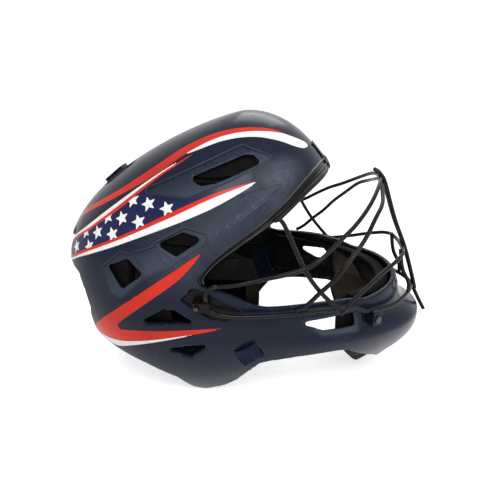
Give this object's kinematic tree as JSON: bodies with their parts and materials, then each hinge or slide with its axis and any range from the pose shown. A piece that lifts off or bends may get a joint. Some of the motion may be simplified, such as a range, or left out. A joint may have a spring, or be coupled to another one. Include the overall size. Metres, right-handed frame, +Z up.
{
  "type": "baseball catcher helmet",
  "caption": "Moulded navy catcher helmet with vents, painted stars and stripes, a welded black wire face cage, rubber edging, dark pads and a sprung back plate.",
  "frame": {"origin": "on the resting surface, below the middle of the bounding box; the helmet rests on the chin cup and the two lobes below the ears", "axes": "+X the way the wearer faces, +Y the wearer's left, +Z up"},
  "size_m": [0.3354, 0.2254, 0.247],
  "materials": {
    "navy_shell": "satin gloss, scuffed",
    "rubber_edging": "satin, two ridges",
    "cage_wire": "black coating, worn at the welds",
    "black_plastic": "satin",
    "black_steel": "black coating, rust spots",
    "fastener_steel": "worn",
    "padding": "worn black-brown lining over foam",
    "navy_webbing": "woven",
    "black_elastic": "ribbed elastic"
  },
  "bodies": {
    "helmet": {"outer_shell": "navy_shell", "opening_trim": "rubber_edging", "eye_wire": "cage_wire", "opening_wire": "cage_wire", "cheek_wire": "cage_wire", "mouth_wire": "cage_wire", "jaw_wire": "cage_wire", "center_bar_left": "cage_wire", "center_bar_right": "cage_wire", "chin_bar_left": "cage_wire", "chin_bar_right": "cage_wire", "throat_guard": "cage_wire", "cage_mount_left": "black_plastic", "cage_mount_right": "black_plastic", "cage_clip_left": "black_steel", "cage_clip_right": "black_steel", "cage_screw_left": "fastener_steel", "cage_screw_right": "fastener_steel", "cage_nut_left": "fastener_steel", "cage_nut_right": "fastener_steel", "chin_clip_left": "navy_shell", "chin_clip_right": "navy_shell", "chin_clip_screw_left": "fastener_steel", "chin_clip_screw_right": "fastener_steel", "brim_clip": "black_plastic", "brim_clip_screw": "fastener_steel", "crown_pad": "padding", "brow_pad": "padding", "side_pad_left": "padding", "side_pad_right": "padding", "temple_pad_left": "padding", "temple_pad_right": "padding", "nape_pad_left": "padding", "nape_pad_right": "padding", "ear_pad_left": "padding", "ear_pad_right": "padding", "lobe_pad_left": "padding", "lobe_pad_right": "padding", "jaw_pad_left": "padding", "jaw_pad_right": "padding", "chin_cup": "padding", "strap_hook": "black_plastic", "crown_strap": "black_elastic", "side_strap_left": "black_elastic", "side_strap_right": "black_elastic", "strap_loop_left": "navy_webbing", "strap_loop_right": "navy_webbing"},
    "back_plate_body": {"back_plate": "navy_shell", "back_pad": "padding", "strap_anchor": "black_plastic"}
  },
  "joints": [
    {"name": "back_plate_swing", "type": "hinge", "parent": "helmet", "child": "back_plate_body", "pos_m": [-0.1564, 0, 0.13], "axis": [0, 1, 0], "range_deg": [0, 16], "stiffness_Nm_per_rad": 0.6, "deforming": ["crown_strap", "side_strap_left", "side_strap_right"]}
  ]
}
